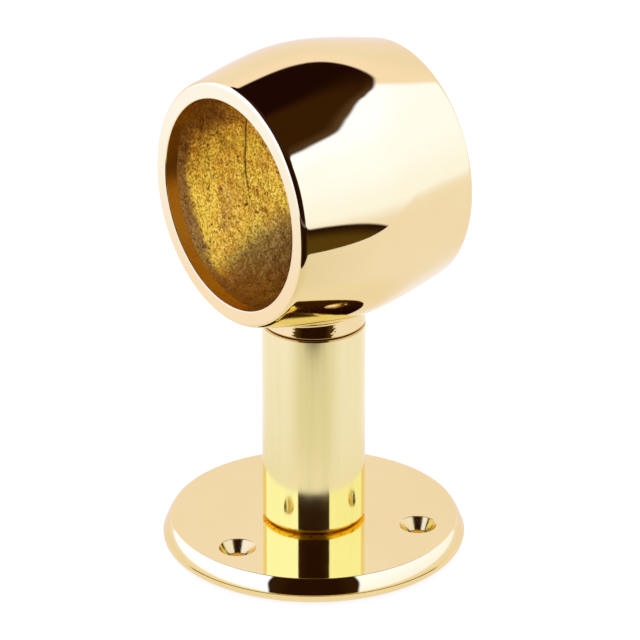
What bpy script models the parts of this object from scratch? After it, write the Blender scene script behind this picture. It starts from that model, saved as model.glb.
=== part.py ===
"""Brass rail stanchion: a moulded foot flange, a satin post tube and a polished ring head for a 2 in rail.

Frame: +Z runs up the post and the origin is the centre of the flange's underside. The rail passes
through the ring along X. The head turns about Z on the post until the tie rod's nut is tightened.
"""
import math

import bmesh
import bpy
from mathutils import Matrix

MM = 0.001

# Running gap left between pieces that touch.
GAP = 0.3 * MM

# Foot flange.
FLANGE_R = 37.5 * MM
FLANGE_TOP_R = 35.6 * MM
FLANGE_T = 6.3 * MM
CRISP_EDGE = 0.2 * MM
BEAD_R = 1.9 * MM
BEAD_MID_Z = 2.05 * MM
FOOT_FACE_R = 35.8 * MM
RIM_CURVE_R = 10.2 * MM
RIM_LOW_TILT = 13.2
RIM_TOP_TILT = 35.8
RIM_GROOVE = 0.1 * MM
SCREW_COUNT = 3
SCREW_CIRCLE_R = 26.65 * MM
SCREW_FIRST_ANGLE = math.radians(69)
SCREW_HOLE_R = 2.6 * MM
SCREW_SINK_R = 4.6 * MM
SCREW_SINK_DEPTH = 2.9 * MM

# Post tube.
TUBE_R = 12.7 * MM
TUBE_WALL = 1.6 * MM
TUBE_FOOT_ROUND = 1.1 * MM
TUBE_TOP_BREAK = 0.45 * MM
JOINT_Z = 59.0 * MM

# Ring head.
RAIL_AXIS_Z = 95.5 * MM
RING_HALF_LENGTH = 25.4 * MM
RING_MID_R = 34.3 * MM
RING_END_R = 30.05 * MM
RING_CROWN = 0.465
RING_LIP_ROUND = 1.4 * MM
LIP_BORE_R = 25.95 * MM
LIP_BORE_LENGTH = 3.4 * MM
LIP_BREAK = 0.3 * MM
CORE_END_R = 26.4 * MM
CORE_MID_R = 29.0 * MM
NECK_TOP_Z = 65.0 * MM
NECK_WAIST = 0.3 * MM
NECK_EDGE = 0.35 * MM
SPIGOT_LENGTH = 8.0 * MM

# Tie rod, nut and washers, M8.
ROD_R = 4.0 * MM
ROD_BOTTOM_Z = 1.0 * MM
ROD_TOP_Z = 62.8 * MM
BOSS_TOP_Z = 16.3 * MM
BOSS_WEB = 3.0 * MM
POCKET_R = 9.0 * MM
WASHER_R = 8.0 * MM
WASHER_T = 1.6 * MM
SPRING_WASHER_R = 6.95 * MM
SPRING_WASHER_T = 2.0 * MM
SPRING_WASHER_SLOT = 1.2 * MM
NUT_ACROSS_FLATS = 13.0 * MM
NUT_T = 6.5 * MM

# Grub screw under the ring, M5.
GRUB_X = 18.0 * MM
GRUB_R = 2.5 * MM
GRUB_LENGTH = 5.0 * MM
GRUB_TOP_Z = 69.3 * MM
GRUB_SOCKET_FLATS = 2.5 * MM
GRUB_SOCKET_DEPTH = 2.4 * MM

# Finishes: colour and roughness.
POLISHED_BRASS = ((0.92, 0.74, 0.42), 0.05)
SATIN_BRASS = ((0.90, 0.72, 0.42), 0.28)
FASTENER_STEEL = ((0.62, 0.61, 0.59), 0.30)

# Facets.
BIG_SEGMENTS = 60
TUBE_SEGMENTS = 48
SMALL_SEGMENTS = 24
HOLE_SEGMENTS = 32
ARC_STEPS = 6
RING_STATIONS = 14
LIP_STEPS = 4
LIP_TANGENT = 14
CORE_STATIONS = 8
SMOOTH_ANGLE = math.radians(30)

SPIGOT_R = TUBE_R - TUBE_WALL - GAP
TUBE_BOTTOM_Z = FLANGE_T + GAP
TUBE_TOP_Z = JOINT_Z - GAP / 2
NECK_BOTTOM_Z = JOINT_Z + GAP / 2
WEB_BOTTOM_Z = BOSS_TOP_Z - BOSS_WEB
WASHER_TOP_Z = WEB_BOTTOM_Z - GAP
SPRING_WASHER_TOP_Z = WASHER_TOP_Z - WASHER_T - GAP
NUT_TOP_Z = SPRING_WASHER_TOP_Z - SPRING_WASHER_T - GAP
ROD_HOLE_R = ROD_R + GAP


def clear_scene():
    for item in list(bpy.data.objects):
        bpy.data.objects.remove(item, do_unlink=True)


def piece_material(piece, finish):
    """A metal of its own for each piece: a Principled BSDF with the finish's colour and roughness."""
    colour, roughness = finish
    material = bpy.data.materials.new(piece + "_metal")
    material.use_nodes = True
    shader = material.node_tree.nodes["Principled BSDF"]
    shader.inputs["Base Color"].default_value = (*colour, 1.0)
    shader.inputs["Roughness"].default_value = roughness
    shader.inputs["Metallic"].default_value = 1.0
    material.diffuse_color = (*colour, 1.0)
    return material


def arc(centre_r, centre_z, radius, start, end, steps=ARC_STEPS):
    """Outline points (radius, height) round a circle, from one angle to another in degrees."""
    angles = [math.radians(start + (end - start) * i / steps) for i in range(steps + 1)]
    return [(centre_r + radius * math.cos(a), centre_z + radius * math.sin(a)) for a in angles]


def lathe(outline, segments):
    """A solid turned about Z. An outline that starts on the axis ends on it; any other is a closed loop."""
    shape = bmesh.new()
    corners = [shape.verts.new((r, 0.0, z)) for r, z in outline]
    ends = list(zip(corners, corners[1:]))
    if outline[0][0] > 0.0:
        ends.append((corners[-1], corners[0]))
    edges = [shape.edges.new(pair) for pair in ends]
    bmesh.ops.spin(
        shape, geom=corners + edges, cent=(0, 0, 0), axis=(0, 0, 1), dvec=(0, 0, 0),
        angle=2 * math.pi, steps=segments, use_merge=True,
    )
    bmesh.ops.remove_doubles(shape, verts=shape.verts, dist=1e-6)
    bmesh.ops.recalc_face_normals(shape, faces=shape.faces)
    return shape


def prism(across_flats, bottom, top, sides=6):
    """An upright prism with regular sides, measured across its flats."""
    shape = bmesh.new()
    corner_r = across_flats / 2 / math.cos(math.pi / sides)
    bmesh.ops.create_cone(
        shape, cap_ends=True, segments=sides, radius1=corner_r, radius2=corner_r, depth=top - bottom,
        matrix=Matrix.Translation((0, 0, (top + bottom) / 2)),
    )
    return shape


def add_object(name, shape, finish=None, location=(0, 0, 0)):
    """Links a bmesh as an object, shaded smooth with its crisp edges kept. A guide has no finish."""
    mesh = bpy.data.meshes.new(name)
    shape.to_mesh(mesh)
    shape.free()
    mesh.shade_smooth()
    mesh.set_sharp_from_angle(angle=SMOOTH_ANGLE)
    if finish:
        mesh.materials.append(piece_material(name, finish))
    item = bpy.data.objects.new(name, mesh)
    item.location = location
    bpy.context.scene.collection.objects.link(item)
    return item


def combine(target, tool, operation):
    """Joins, cuts or trims target with tool, which is kept as a hidden guide."""
    tool.hide_render = True
    tool.display_type = "WIRE"
    step = target.modifiers.new(operation.lower() + "_" + tool.name, "BOOLEAN")
    step.operation = operation
    step.solver = "EXACT"
    step.object = tool


def rim_outline():
    """The flange's rim from its underside up: tucked-in bead, fine groove, swept face and crisp top edge."""
    edge_z = FLANGE_T - CRISP_EDGE
    top_tilt = math.radians(RIM_TOP_TILT)
    edge_r = FLANGE_TOP_R - CRISP_EDGE * math.cos(top_tilt)
    sweep_r = FLANGE_TOP_R - RIM_CURVE_R * math.cos(top_tilt)
    sweep_z = edge_z + (CRISP_EDGE - RIM_CURVE_R) * math.sin(top_tilt)
    sweep = arc(sweep_r, sweep_z, RIM_CURVE_R, RIM_LOW_TILT, RIM_TOP_TILT)
    low_r, low_z = sweep[0]
    outline = [(FOOT_FACE_R, 0.0)]
    outline += arc(FLANGE_R - BEAD_R, BEAD_MID_Z, BEAD_R, -75, 10, 7)
    outline += [(low_r - RIM_GROOVE, low_z - RIM_GROOVE)]
    outline += sweep
    return outline + [(edge_r, FLANGE_T)]


def build_base_flange():
    """Foot flange: flat top, moulded rim, boss up the tube and nut pocket below."""
    outline = [(POCKET_R + CRISP_EDGE, 0.0)]
    outline += rim_outline()
    outline += [
        (SPIGOT_R, FLANGE_T),
        (SPIGOT_R, BOSS_TOP_Z - 2 * GAP),
        (SPIGOT_R - 2 * GAP, BOSS_TOP_Z),
        (ROD_HOLE_R, BOSS_TOP_Z),
        (ROD_HOLE_R, WEB_BOTTOM_Z),
        (POCKET_R, WEB_BOTTOM_Z),
        (POCKET_R, CRISP_EDGE),
    ]
    flange = add_object("base_flange", lathe(outline, BIG_SEGMENTS), POLISHED_BRASS)
    below = -1.0 * MM
    above = FLANGE_T + 1.0 * MM
    drill = [
        (0.0, below),
        (SCREW_HOLE_R, below),
        (SCREW_HOLE_R, FLANGE_T - SCREW_SINK_DEPTH),
        (SCREW_SINK_R, FLANGE_T),
        (SCREW_SINK_R + above - FLANGE_T, above),
        (0.0, above),
    ]
    for i in range(SCREW_COUNT):
        angle = SCREW_FIRST_ANGLE + 2 * math.pi * i / SCREW_COUNT
        place = (SCREW_CIRCLE_R * math.cos(angle), SCREW_CIRCLE_R * math.sin(angle), 0)
        cutter = add_object(f"screw_drill_{i + 1}", lathe(drill, HOLE_SEGMENTS), location=place)
        combine(flange, cutter, "DIFFERENCE")


def build_post_tube():
    """Satin tube that stands on the flange, with a rounded foot edge."""
    inner_r = TUBE_R - TUBE_WALL
    outline = [(inner_r, TUBE_TOP_Z), (inner_r, TUBE_BOTTOM_Z)]
    outline += arc(TUBE_R - TUBE_FOOT_ROUND, TUBE_BOTTOM_Z + TUBE_FOOT_ROUND, TUBE_FOOT_ROUND, -90, 0)
    outline += [(TUBE_R, TUBE_TOP_Z - TUBE_TOP_BREAK), (TUBE_R - TUBE_TOP_BREAK, TUBE_TOP_Z)]
    add_object("post_tube", lathe(outline, TUBE_SEGMENTS), SATIN_BRASS)


def ring_outer_r(x):
    """Outer radius of the ring at distance x from its middle: a rounded crown between two tapers."""
    fall = math.hypot(x / RING_HALF_LENGTH, RING_CROWN) - RING_CROWN
    full_fall = math.hypot(1.0, RING_CROWN) - RING_CROWN
    return RING_MID_R - (RING_MID_R - RING_END_R) * fall / full_fall


def core_r(x):
    """Radius of the cored hollow between the two lips, widest at the middle."""
    share = abs(x) / (RING_HALF_LENGTH - LIP_BORE_LENGTH)
    return CORE_MID_R - (CORE_MID_R - CORE_END_R) * share**2


def ring_outline():
    """The ring's section as (radius, distance along the rail), once round."""
    half = RING_HALF_LENGTH
    lip_start = half - LIP_BORE_LENGTH
    round_r = RING_LIP_ROUND
    shoulder = half - round_r
    outer = [(ring_outer_r(shoulder * (2 * i / RING_STATIONS - 1)), shoulder * (2 * i / RING_STATIONS - 1))
             for i in range(RING_STATIONS + 1)]
    edge_r = ring_outer_r(shoulder) - round_r * math.cos(math.radians(LIP_TANGENT))
    outer += arc(edge_r, shoulder, round_r, LIP_TANGENT, 90, LIP_STEPS)[1:]
    outer += [(LIP_BORE_R + LIP_BREAK, half), (LIP_BORE_R, half - LIP_BREAK), (LIP_BORE_R, lip_start)]
    inner = [(core_r(lip_start * (1 - 2 * i / CORE_STATIONS)), lip_start * (1 - 2 * i / CORE_STATIONS))
             for i in range(CORE_STATIONS + 1)]
    inner += [(LIP_BORE_R, -lip_start), (LIP_BORE_R, LIP_BREAK - half), (LIP_BORE_R + LIP_BREAK, -half)]
    inner += arc(edge_r, -shoulder, round_r, -90, -LIP_TANGENT, LIP_STEPS)[:-1]
    return outer + inner


def build_rail_head():
    """Cast ring with the rail bore along X, its neck, and the spigot that centres it in the tube."""
    ring = lathe(ring_outline(), BIG_SEGMENTS)
    turn = Matrix.Translation((0, 0, RAIL_AXIS_Z)) @ Matrix.Rotation(math.pi / 2, 4, "Y")
    bmesh.ops.transform(ring, matrix=turn, verts=ring.verts)
    head = add_object("rail_head", ring, POLISHED_BRASS)
    spigot_bottom_z = NECK_BOTTOM_Z - SPIGOT_LENGTH
    neck_outline = [
        (0.0, spigot_bottom_z),
        (SPIGOT_R - 2 * GAP, spigot_bottom_z),
        (SPIGOT_R, spigot_bottom_z + 2 * GAP),
        (SPIGOT_R, NECK_BOTTOM_Z),
        (TUBE_R - NECK_EDGE, NECK_BOTTOM_Z),
        (TUBE_R, NECK_BOTTOM_Z + NECK_EDGE),
        (TUBE_R - NECK_WAIST, NECK_TOP_Z),
        (0.0, NECK_TOP_Z),
    ]
    combine(head, add_object("neck_guide", lathe(neck_outline, TUBE_SEGMENTS)), "UNION")
    rod_hole_top_z = ROD_TOP_Z + 2 * GAP
    rod_drill = [
        (0.0, spigot_bottom_z - GAP),
        (ROD_HOLE_R, spigot_bottom_z - GAP),
        (ROD_HOLE_R, rod_hole_top_z),
        (0.0, rod_hole_top_z + ROD_HOLE_R / 3),
    ]
    combine(head, add_object("rod_drill", lathe(rod_drill, SMALL_SEGMENTS)), "DIFFERENCE")
    grub_hole_r = GRUB_R + GAP
    grub_drill = [
        (0.0, NECK_BOTTOM_Z),
        (grub_hole_r, NECK_BOTTOM_Z),
        (grub_hole_r, GRUB_TOP_Z + GRUB_LENGTH),
        (0.0, GRUB_TOP_Z + GRUB_LENGTH),
    ]
    cutter = add_object("grub_drill", lathe(grub_drill, SMALL_SEGMENTS), location=(GRUB_X, 0, 0))
    combine(head, cutter, "DIFFERENCE")


def build_tie_rod():
    """Plain-shank stand-in for the threaded rod that ties the head down through the tube."""
    tip = ROD_R / 5
    outline = [
        (0.0, ROD_BOTTOM_Z),
        (ROD_R - tip, ROD_BOTTOM_Z),
        (ROD_R, ROD_BOTTOM_Z + tip),
        (ROD_R, ROD_TOP_Z - tip),
        (ROD_R - tip, ROD_TOP_Z),
        (0.0, ROD_TOP_Z),
    ]
    add_object("tie_rod", lathe(outline, SMALL_SEGMENTS), FASTENER_STEEL)


def flat_ring(outer_r, inner_r, top, thickness):
    """Section of a flat washer under a given height."""
    return [(inner_r, top - thickness), (outer_r, top - thickness), (outer_r, top), (inner_r, top)]


def build_washers():
    """Plain washer under the boss web, and the split spring washer below it."""
    plain = lathe(flat_ring(WASHER_R, ROD_HOLE_R, WASHER_TOP_Z, WASHER_T), HOLE_SEGMENTS)
    add_object("plain_washer", plain, FASTENER_STEEL)
    section = flat_ring(SPRING_WASHER_R, ROD_HOLE_R, SPRING_WASHER_TOP_Z, SPRING_WASHER_T)
    spring = add_object("spring_washer", lathe(section, HOLE_SEGMENTS), FASTENER_STEEL)
    slot = bmesh.new()
    size = Matrix.Diagonal((SPRING_WASHER_R, SPRING_WASHER_SLOT, 3 * SPRING_WASHER_T, 1))
    place = Matrix.Translation((SPRING_WASHER_R, 0, SPRING_WASHER_TOP_Z - SPRING_WASHER_T / 2))
    lean = Matrix.Rotation(math.radians(25), 4, "X")
    bmesh.ops.create_cube(slot, size=1.0, matrix=place @ lean @ size)
    combine(spring, add_object("washer_slot_guide", slot), "DIFFERENCE")


def build_tie_nut():
    """Hexagon nut with chamfered corners, clear of the rod it turns on."""
    bottom = NUT_TOP_Z - NUT_T
    nut = add_object("tie_nut", prism(NUT_ACROSS_FLATS, bottom, NUT_TOP_Z), FASTENER_STEEL)
    face_r = NUT_ACROSS_FLATS / 2 * 0.97
    corner_r = NUT_ACROSS_FLATS / 2 / math.cos(math.pi / 6)
    drop = (corner_r - face_r) * math.tan(math.radians(30))
    blank = [
        (ROD_HOLE_R, bottom - GAP),
        (face_r, bottom - GAP),
        (face_r, bottom),
        (corner_r + GAP, bottom + drop),
        (corner_r + GAP, NUT_TOP_Z - drop),
        (face_r, NUT_TOP_Z),
        (face_r, NUT_TOP_Z + GAP),
        (ROD_HOLE_R, NUT_TOP_Z + GAP),
    ]
    combine(nut, add_object("nut_blank_guide", lathe(blank, SMALL_SEGMENTS)), "INTERSECT")


def build_rail_set_screw():
    """Socket grub screw that comes up through the ring wall and bears on the rail."""
    chamfer = GRUB_R / 5
    cup_r = GRUB_R / 2
    cup_depth = cup_r / 2
    outline = [
        (0.0, -GRUB_LENGTH),
        (GRUB_R - chamfer, -GRUB_LENGTH),
        (GRUB_R, chamfer - GRUB_LENGTH),
        (GRUB_R, -chamfer),
        (GRUB_R - chamfer, 0.0),
        (cup_r, 0.0),
        (0.0, -cup_depth),
    ]
    place = (GRUB_X, 0, GRUB_TOP_Z)
    screw = add_object("rail_set_screw", lathe(outline, SMALL_SEGMENTS), FASTENER_STEEL, location=place)
    socket = prism(GRUB_SOCKET_FLATS, -GRUB_LENGTH - GAP, GRUB_SOCKET_DEPTH - GRUB_LENGTH)
    combine(screw, add_object("socket_guide", socket, location=place), "DIFFERENCE")


def main():
    clear_scene()
    build_base_flange()
    build_post_tube()
    build_rail_head()
    build_tie_rod()
    build_washers()
    build_tie_nut()
    build_rail_set_screw()


main()
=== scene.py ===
# Looks for the brass rail stanchion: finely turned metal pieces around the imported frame, and a plain studio.
import math

import bmesh
import bpy
from mathutils import Matrix, Vector, noise


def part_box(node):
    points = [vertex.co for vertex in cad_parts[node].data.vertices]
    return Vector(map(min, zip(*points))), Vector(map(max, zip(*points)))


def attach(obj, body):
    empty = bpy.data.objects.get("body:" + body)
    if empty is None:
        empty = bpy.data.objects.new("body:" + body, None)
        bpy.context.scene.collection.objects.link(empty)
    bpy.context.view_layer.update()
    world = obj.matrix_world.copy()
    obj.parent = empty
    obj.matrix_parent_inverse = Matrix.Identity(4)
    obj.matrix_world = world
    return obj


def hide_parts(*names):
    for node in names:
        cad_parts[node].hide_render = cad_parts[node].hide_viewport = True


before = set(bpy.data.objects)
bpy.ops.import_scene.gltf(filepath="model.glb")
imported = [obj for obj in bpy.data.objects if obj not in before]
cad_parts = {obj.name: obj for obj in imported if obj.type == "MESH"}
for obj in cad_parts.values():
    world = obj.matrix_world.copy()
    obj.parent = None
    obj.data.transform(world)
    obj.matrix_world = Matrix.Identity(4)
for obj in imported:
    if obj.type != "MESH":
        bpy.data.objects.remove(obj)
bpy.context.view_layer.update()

MM = 0.001

# Sizes taken from the frame.
GAP = 0.3 * MM
flange_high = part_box("base_flange")[1]
tube_low, tube_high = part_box("post_tube")
head_low, head_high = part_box("rail_head")
rod_low, rod_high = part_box("tie_rod")
plain_low, plain_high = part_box("plain_washer")
spring_low, spring_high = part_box("spring_washer")
nut_low, nut_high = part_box("tie_nut")
grub_low, grub_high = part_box("rail_set_screw")

FLANGE_R = flange_high.x
FLANGE_T = tube_low.z - GAP
BOSS_TOP_Z = flange_high.z
TUBE_R = tube_high.x
NECK_BOTTOM_Z = tube_high.z + GAP
SPIGOT_BOTTOM_Z = head_low.z
RING_HALF = head_high.x
RING_MID_R = head_high.y
RAIL_AXIS_Z = head_high.z - RING_MID_R
ROD_R = rod_high.x
GRUB_R = (grub_high.x - grub_low.x) / 2
GRUB_X = (grub_high.x + grub_low.x) / 2
GRUB_LENGTH = grub_high.z - grub_low.z

# Foot flange.
FLANGE_TOP_R = 35.6 * MM
FOOT_FACE_R = 35.8 * MM
BEAD_R = 1.9 * MM
BEAD_MID_Z = 2.05 * MM
BEAD_ANGLES = (-75, 10)
RIM_CURVE_R = 10.2 * MM
RIM_LOW_TILT = 13.2
RIM_TOP_TILT = 35.8
RIM_GROOVE = 0.1 * MM
CRISP_EDGE = 0.2 * MM
SCREW_COUNT = 3
SCREW_CIRCLE_R = 26.65 * MM
SCREW_FIRST_ANGLE = math.radians(69)
SCREW_HOLE_R = 2.6 * MM
SCREW_SINK_R = 4.6 * MM
SCREW_SINK_DEPTH = 2.9 * MM
SINK_EDGE_R = 0.12 * MM
DRILL_OVERRUN = 1.0 * MM
BOSS_WEB = 3.0 * MM
POCKET_R = 9.0 * MM

# Post tube.
TUBE_WALL = 1.6 * MM
TUBE_FOOT_ROUND = 1.1 * MM
TUBE_TOP_BREAK = 0.45 * MM

# Ring head.
RING_END_R = 30.05 * MM
RING_CROWN = 0.465
RING_LIP_ROUND = 1.35 * MM
RING_LIP_LENGTH = 2.4 * MM
LIP_TANGENT = 14
LIP_BORE_R = 25.95 * MM
LIP_BORE_LENGTH = 3.4 * MM
LIP_BREAK = 0.3 * MM
CORE_END_R = 26.4 * MM
CORE_MID_R = 29.0 * MM
NECK_FILLET_R = 1.2 * MM
NECK_FILLET_OVERRUN = 14
NECK_TOP_Z = 65.0 * MM
NECK_WAIST = 0.3 * MM
NECK_EDGE = 0.35 * MM
ROD_HOLE_TOP_Z = rod_high.z + 2 * GAP

# Threads and small steel parts.
ROD_PITCH = 1.25 * MM
GRUB_PITCH = 0.8 * MM
THREAD_SHARE = 0.54
GRUB_SOCKET_FLATS = 2.5 * MM
GRUB_SOCKET_DEPTH = 2.4 * MM
SPRING_WASHER_SLOT = 1.2 * MM
NUT_ACROSS_FLATS = 13.0 * MM
NUT_CHAMFER_ANGLE = math.radians(30)
NUT_THREAD_PLAY = 0.06 * MM
WASHER_EDGE = 0.25 * MM

# Mesh fineness.
BIG_SEGMENTS = 400
TUBE_SEGMENTS = 288
SMALL_SEGMENTS = 96
ARC_STEPS = 14
RING_STATIONS = 90
CORE_STATIONS = 8
CORE_CUTS = 14
SMOOTH_ANGLE = math.radians(32)

SPIGOT_R = TUBE_R - TUBE_WALL - GAP
ROD_HOLE_R = ROD_R + GAP
WEB_BOTTOM_Z = BOSS_TOP_Z - BOSS_WEB

# Camera: where it stands round the part, and the point that it looks at.
CAMERA_AZIMUTH = math.radians(36.48)
CAMERA_LENS = 244.3
CAMERA_PLACE = Vector((-0.57336, -0.77803, 0.49535))
CAMERA_LOOK = Vector((0.54184, 0.73280, -0.41160))
TOWARD_CAMERA = Vector((-math.sin(CAMERA_AZIMUTH), -math.cos(CAMERA_AZIMUTH), 0.0))
CAMERA_RIGHT = Vector((math.cos(CAMERA_AZIMUTH), -math.sin(CAMERA_AZIMUTH), 0.0))

# Studio: radiances that the metal mirrors, in the metal's own reflections only. They are tinted, so the
# brass colours below are tuned to them. Left and right are the camera's.
SOFTBOX_LEFT = (1.12, 1.34, 3.70)
SOFTBOX_RIGHT = (1.06, 1.24, 2.85)
SOFTBOX_LOW_TINT = (0.985, 0.93, 0.84)
SOFTBOX_HIGH_TINT = (1.0, 1.03, 1.15)
BACK_WALL = (0.930, 0.870, 1.35)
BACK_WALL_HIGH = (1.00, 0.905, 1.44)
# TABLE_NEAR: the mirrored table close round the part, in painted shade of the part.
TABLE_NEAR = (0.90, 0.835, 1.14)
TABLE = (0.93, 0.88, 1.40)
TABLE_LEFT = (1.00, 0.94, 1.66)
TABLE_LEFT_FAR = (1.04, 1.15, 2.60)
TABLE_FRONT = (0.80, 0.74, 0.94)
TABLE_BACK = (0.97, 0.98, 1.65)
TABLE_BEHIND = (1.00, 0.98, 1.15)
CEILING = (0.040, 0.0144, 0.004)
CEILING_EDGE = (0.093, 0.051, 0.037)
CEILING_BACK = (0.0136, 0.003, 0.003)
FRONT_DARK = (0.020, 0.006, 0.002)
FRONT_BROWN = (0.030, 0.013, 0.005)
UNDER_TABLE = (0.095, 0.054, 0.011)
TABLE_EDGE = 0.138
TABLE_REACH = 1.6
FLOOR_SIZE = 12.0
FLOOR_GLOW = 1.10
FLOOR_GLOW_SHARE = 0.70

# Angles round from the camera's side, in degrees, where the dark camera side and the softboxes end.
DARK_SIDE_END = (31.5, 34.0)
SOFTBOX_END = (133.0, 138.0)

# How high the ceiling starts, in degrees, at each angle round from the camera's side.
CEILING_LINE = ((0, 48), (36, 43), (44, 49), (52, 53.5), (65, 56.5), (77, 60), (102, 60), (115, 56),
                (127, 49.5), (140, 43.5), (152, 42), (177, 43.5))

# Base colours.
BRASS = (0.955, 0.805, 0.300)
BRASS_DULLER = (0.935, 0.775, 0.280)
TUBE_BRASS = (0.960, 0.868, 0.330)
TUBE_BRASS_DULLER = (0.930, 0.850, 0.310)
# Orange band at the tube foot: painted reflection of the brass flange; its dark specks are the foot's own.
FOOT_PAINTED_REFLECTION = (1.0, 0.60, 0.02)
FOOT_SPECK_DARK = (0.50, 0.20, 0.02)
JOINT_STAIN = (0.60, 0.34, 0.05)
COUNTERSUNK_TONES = ((0.88, 0.66, 0.19), (0.80, 0.56, 0.13))
BORED_TONES = ((0.66, 0.41, 0.055), (0.56, 0.33, 0.040))
CAST_TONES = ((0.30, (0.66, 0.31, 0.020)), (0.43, (0.92, 0.48, 0.022)),
              (0.58, (1.0, 0.62, 0.030)), (0.78, (1.0, 0.74, 0.060)))
CAST_GRAIN_DARK = (0.26, 0.12, 0.014)
# Lighter grains in the cast hollow: painted glints.
CAST_PAINTED_GLINT = (1.0, 0.84, 0.16)
CAST_PIT = (0.05, 0.02, 0.01)
# Colour of the painted shade in the cast hollow.
CAST_PAINTED_SHADE = (0.17, 0.062, 0.014)
CAST_SEAM = (0.10, 0.04, 0.008)
STEEL = (0.62, 0.58, 0.38)
STEEL_LIGHTER = (0.68, 0.64, 0.43)

# Where the finishes change. A pair is where a change starts and where it is complete.
NECK_ROUGH_BELOW = (66.5 * MM, 63.5 * MM)
NECK_ROUGH_ABOVE = (58.0 * MM, 58.5 * MM)
HEAD_STAIN_RISE = (0.45 * MM, 0.30 * MM)
HEAD_STAIN_DROP = (0.5 * MM, 0.3 * MM)
TUBE_STAIN_DROP = (0.55 * MM, 0.35 * MM)
# Height of the tube foot's band of painted reflection.
TUBE_FOOT_BAND_RISE = (1.45 * MM, 1.05 * MM)
FOOT_BAND_WOBBLE = 0.4 * MM
# Painted shade in the cast hollow: darker brown by one lip, in an upper patch and along the bottom.
CAST_SHADE_LIP_X = (-16.5 * MM, -19.5 * MM)
CAST_SHADE_UPPER_X = (-3.0 * MM, -11.0 * MM)
CAST_SHADE_UPPER_HEIGHT = (2.0 * MM, 12.0 * MM)
CAST_SHADE_LOWER_HEIGHT = (-17.0 * MM, -22.5 * MM)
CAST_SHADE_LOWER_SLOPE = 0.22
CAST_PATCH_DRIFT = 9.0 * MM
SEAM_HALF_WIDTH = (0.42 * MM, 0.08 * MM)
SEAM_FADE_HEIGHT = (-16.0 * MM, -4.0 * MM)
SEAM_X = 0.4 * MM
SEAM_LEAN = 0.075
SEAM_WANDER = 1.4 * MM
GRAZING_TINT = (1.0, 0.965, 0.80, 1.0)


class Nodes:
    """Builds a node tree with short calls. A value is a number, a tuple or another node's output."""

    def __init__(self, tree):
        self.tree = tree
        tree.nodes.clear()

    def feed(self, socket, value):
        if isinstance(value, bpy.types.NodeSocket):
            self.tree.links.new(value, socket)
        elif isinstance(value, (tuple, Vector)) and socket.type == "RGBA":
            socket.default_value = (*value[:3], 1.0)
        else:
            socket.default_value = value

    def add(self, kind, inputs=None, **settings):
        node = self.tree.nodes.new("ShaderNode" + kind)
        for name, value in settings.items():
            setattr(node, name, value)
        for name, value in (inputs or {}).items():
            self.feed(node.inputs[name], value)
        return node

    def math(self, operation, *values):
        node = self.add("Math", operation=operation)
        for socket, value in zip(node.inputs, values):
            self.feed(socket, value)
        return node.outputs[0]

    def dot(self, first, second):
        node = self.add("VectorMath", operation="DOT_PRODUCT")
        self.feed(node.inputs[0], first)
        self.feed(node.inputs[1], second)
        return node.outputs["Value"]

    def scaled(self, vector, factors):
        node = self.add("VectorMath", operation="MULTIPLY")
        self.feed(node.inputs[0], vector)
        self.feed(node.inputs[1], factors)
        return node.outputs["Vector"]

    def step(self, value, low, high):
        """0 below low and 1 above high, smooth between; low may be the larger one."""
        if low > high:
            return self.math("SUBTRACT", 1.0, self.step(value, high, low))
        node = self.add("MapRange", {"Value": value, "From Min": low, "From Max": high},
                        interpolation_type="SMOOTHSTEP")
        return node.outputs["Result"]

    def span(self, value, low, high, start, end):
        node = self.add("MapRange", {"Value": value, "From Min": low, "From Max": high,
                                     "To Min": start, "To Max": end})
        return node.outputs["Result"]

    def blend(self, share, first, second):
        node = self.add("Mix", data_type="RGBA")
        for index, value in ((0, share), (6, first), (7, second)):
            self.feed(node.inputs[index], value)
        return node.outputs[2]

    def ramp(self, value, stops, curve="LINEAR"):
        """A colour ramp: stops are (position, colour or grey)."""
        node = self.add("ValToRGB", {"Fac": value})
        node.color_ramp.interpolation = curve
        elements = node.color_ramp.elements
        while len(elements) < len(stops):
            elements.new(0.5)
        for element, (position, colour) in zip(elements, stops):
            element.position = position
            element.color = (*colour, 1.0) if isinstance(colour, tuple) else (colour, colour, colour, 1.0)
        return node.outputs["Color"]

    def noise(self, vector, scale, detail=2.0, roughness=0.5, distortion=0.0):
        node = self.add("TexNoise", {"Vector": vector, "Scale": scale, "Detail": detail,
                                     "Roughness": roughness, "Distortion": distortion})
        return node.outputs["Fac"]

    def bump(self, height, distance, strength=1.0, normal=None):
        inputs = {"Height": height, "Distance": distance, "Strength": strength}
        if normal is not None:
            inputs["Normal"] = normal
        return self.add("Bump", inputs).outputs["Normal"]


def new_material(name):
    material = bpy.data.materials.new(name)
    material.use_nodes = True
    return material, Nodes(material.node_tree)


def finish_metal(nodes, inputs):
    shader = nodes.add("BsdfPrincipled", {"Metallic": 1.0, **inputs})
    output = nodes.add("OutputMaterial")
    nodes.tree.links.new(shader.outputs["BSDF"], output.inputs["Surface"])


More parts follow.
